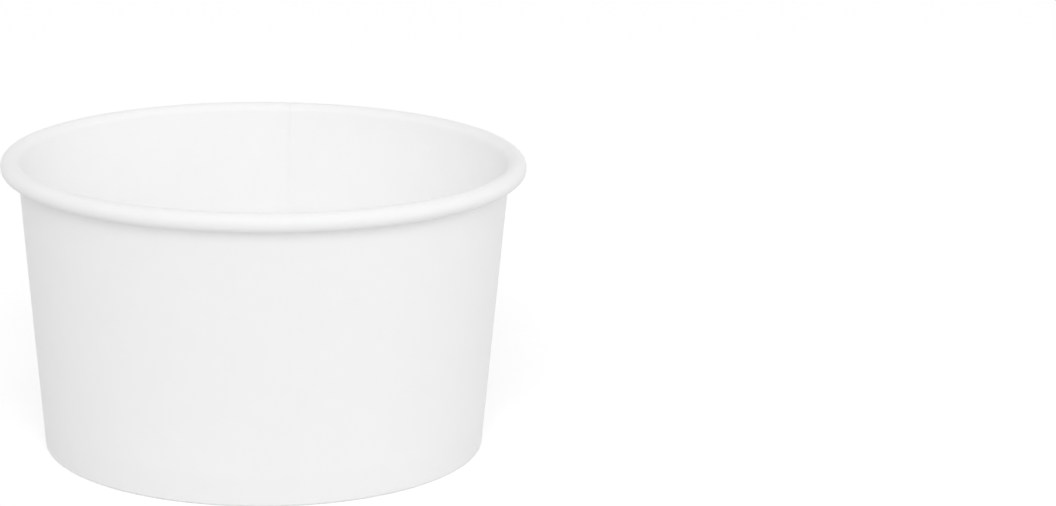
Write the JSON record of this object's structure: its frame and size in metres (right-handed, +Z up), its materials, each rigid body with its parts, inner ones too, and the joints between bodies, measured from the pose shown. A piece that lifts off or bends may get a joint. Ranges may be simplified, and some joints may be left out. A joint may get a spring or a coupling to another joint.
{
  "type": "paper sundae cup",
  "caption": "Low, wide, tapered paper cup with a rolled rim, a lapped side seam and a recessed base disc, for serving a sundae or ice cream.",
  "frame": {"origin": "middle of the foot ring, on the surface that the cup stands on", "axes": "+Z up along the cup's axis, +Y to the back, near which the side seam runs"},
  "size_m": [0.097, 0.097, 0.055],
  "materials": {
    "coated_paperboard": "satin"
  },
  "bodies": {
    "root": {"side_wall": "coated_paperboard", "base_disc": "coated_paperboard"}
  },
  "joints": []
}
